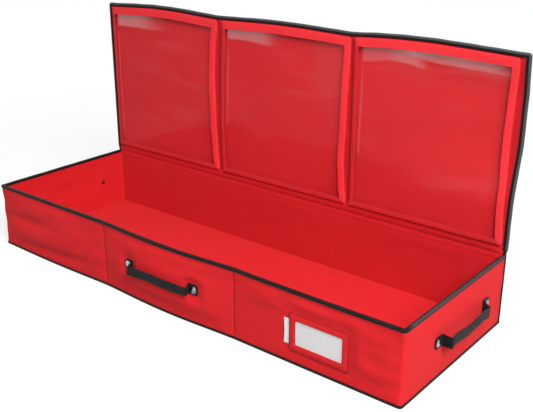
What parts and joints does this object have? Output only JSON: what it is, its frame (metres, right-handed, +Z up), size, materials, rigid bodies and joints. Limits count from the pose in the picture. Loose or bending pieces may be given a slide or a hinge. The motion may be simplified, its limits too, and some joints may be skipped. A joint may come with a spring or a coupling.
{
  "type": "gift wrap organizer",
  "caption": "Long low fabric storage box for rolls, with a fold-over lid that carries clear window pockets, riveted webbing handles and a framed label holder.",
  "frame": {"origin": "centre of the box's underside, on the ground plane", "axes": "+X along the length to the viewer's right, +Y towards the back wall that carries the lid, +Z up"},
  "size_m": [1.088, 0.3859, 0.5058],
  "materials": {
    "red_cloth": "matte non-woven cloth",
    "red_lining": "matte non-woven lining",
    "red_tape": "smooth bound tape",
    "black_tape": "ribbed binding tape",
    "black_webbing": "woven webbing",
    "polished_steel": "polished",
    "clear_film": "clear flexible film",
    "grey_board": "raw pasteboard",
    "white_card": "plain card"
  },
  "bodies": {
    "box": {"side_wall_cover": "red_cloth", "back_wall_cover": "red_cloth", "bottom_cover": "red_cloth", "front_board_left": "grey_board", "front_board_middle": "grey_board", "front_board_right": "grey_board", "back_board_left": "grey_board", "back_board_middle": "grey_board", "back_board_right": "grey_board", "bottom_board_left": "grey_board", "bottom_board_middle": "grey_board", "bottom_board_right": "grey_board", "left_end_board": "grey_board", "right_end_board": "grey_board", "inner_lining": "red_lining", "rim_binding": "black_tape", "base_binding": "black_tape", "back_corner_binding_left": "black_tape", "back_corner_binding_right": "black_tape", "front_handle_tab_left": "black_webbing", "front_handle_tab_right": "black_webbing", "front_handle_rivet_left": "polished_steel", "front_handle_rivet_right": "polished_steel", "front_handle_rivet_back_left": "polished_steel", "front_handle_rivet_back_right": "polished_steel", "right_handle_tab_left": "black_webbing", "right_handle_tab_right": "black_webbing", "right_handle_rivet_left": "polished_steel", "right_handle_rivet_right": "polished_steel", "right_handle_rivet_back_left": "polished_steel", "right_handle_rivet_back_right": "polished_steel", "left_handle_tab_left": "black_webbing", "left_handle_tab_right": "black_webbing", "left_handle_rivet_left": "polished_steel", "left_handle_rivet_right": "polished_steel", "left_handle_rivet_back_left": "polished_steel", "left_handle_rivet_back_right": "polished_steel", "label_frame": "red_tape", "label_window": "clear_film", "lid_hinge_fold": "red_cloth"},
    "lid": {"lid_outer_cover": "red_cloth", "lid_board_left": "grey_board", "lid_board_middle": "grey_board", "lid_board_right": "grey_board", "lid_lining": "red_lining", "lid_binding": "black_tape", "pocket_frame_left": "red_tape", "pocket_frame_middle": "red_tape", "pocket_frame_right": "red_tape", "pocket_window_left": "clear_film", "pocket_window_middle": "clear_film", "pocket_window_right": "clear_film"},
    "front_strap": {"front_handle_strap": "black_webbing"},
    "right_strap": {"right_handle_strap": "black_webbing"},
    "left_strap": {"left_handle_strap": "black_webbing"},
    "card": {"label_card": "white_card"}
  },
  "joints": [
    {"name": "lid_hinge", "type": "hinge", "parent": "box", "child": "lid", "pos_m": [0, 0.1748, 0.1438], "axis": [1, 0, 0], "range_deg": [-110, 90]},
    {"name": "front_handle_swing", "type": "hinge", "parent": "box", "child": "front_strap", "pos_m": [-0.008, -0.19299, 0.071], "axis": [1, 0, 0], "range_deg": [-45, 45], "stiffness_Nm_per_rad": 0.05},
    {"name": "right_handle_swing", "type": "hinge", "parent": "box", "child": "right_strap", "pos_m": [0.5294, 0.019, 0.071], "axis": [0, 1, 0], "range_deg": [-45, 45], "stiffness_Nm_per_rad": 0.05},
    {"name": "left_handle_swing", "type": "hinge", "parent": "box", "child": "left_strap", "pos_m": [-0.5294, 0.019, 0.071], "axis": [0, -1, 0], "range_deg": [-45, 45], "stiffness_Nm_per_rad": 0.05},
    {"name": "label_card_slide", "type": "slide", "parent": "box", "child": "card", "axis": [-1, 0, 0], "range_m": [0, 0.115]}
  ]
}
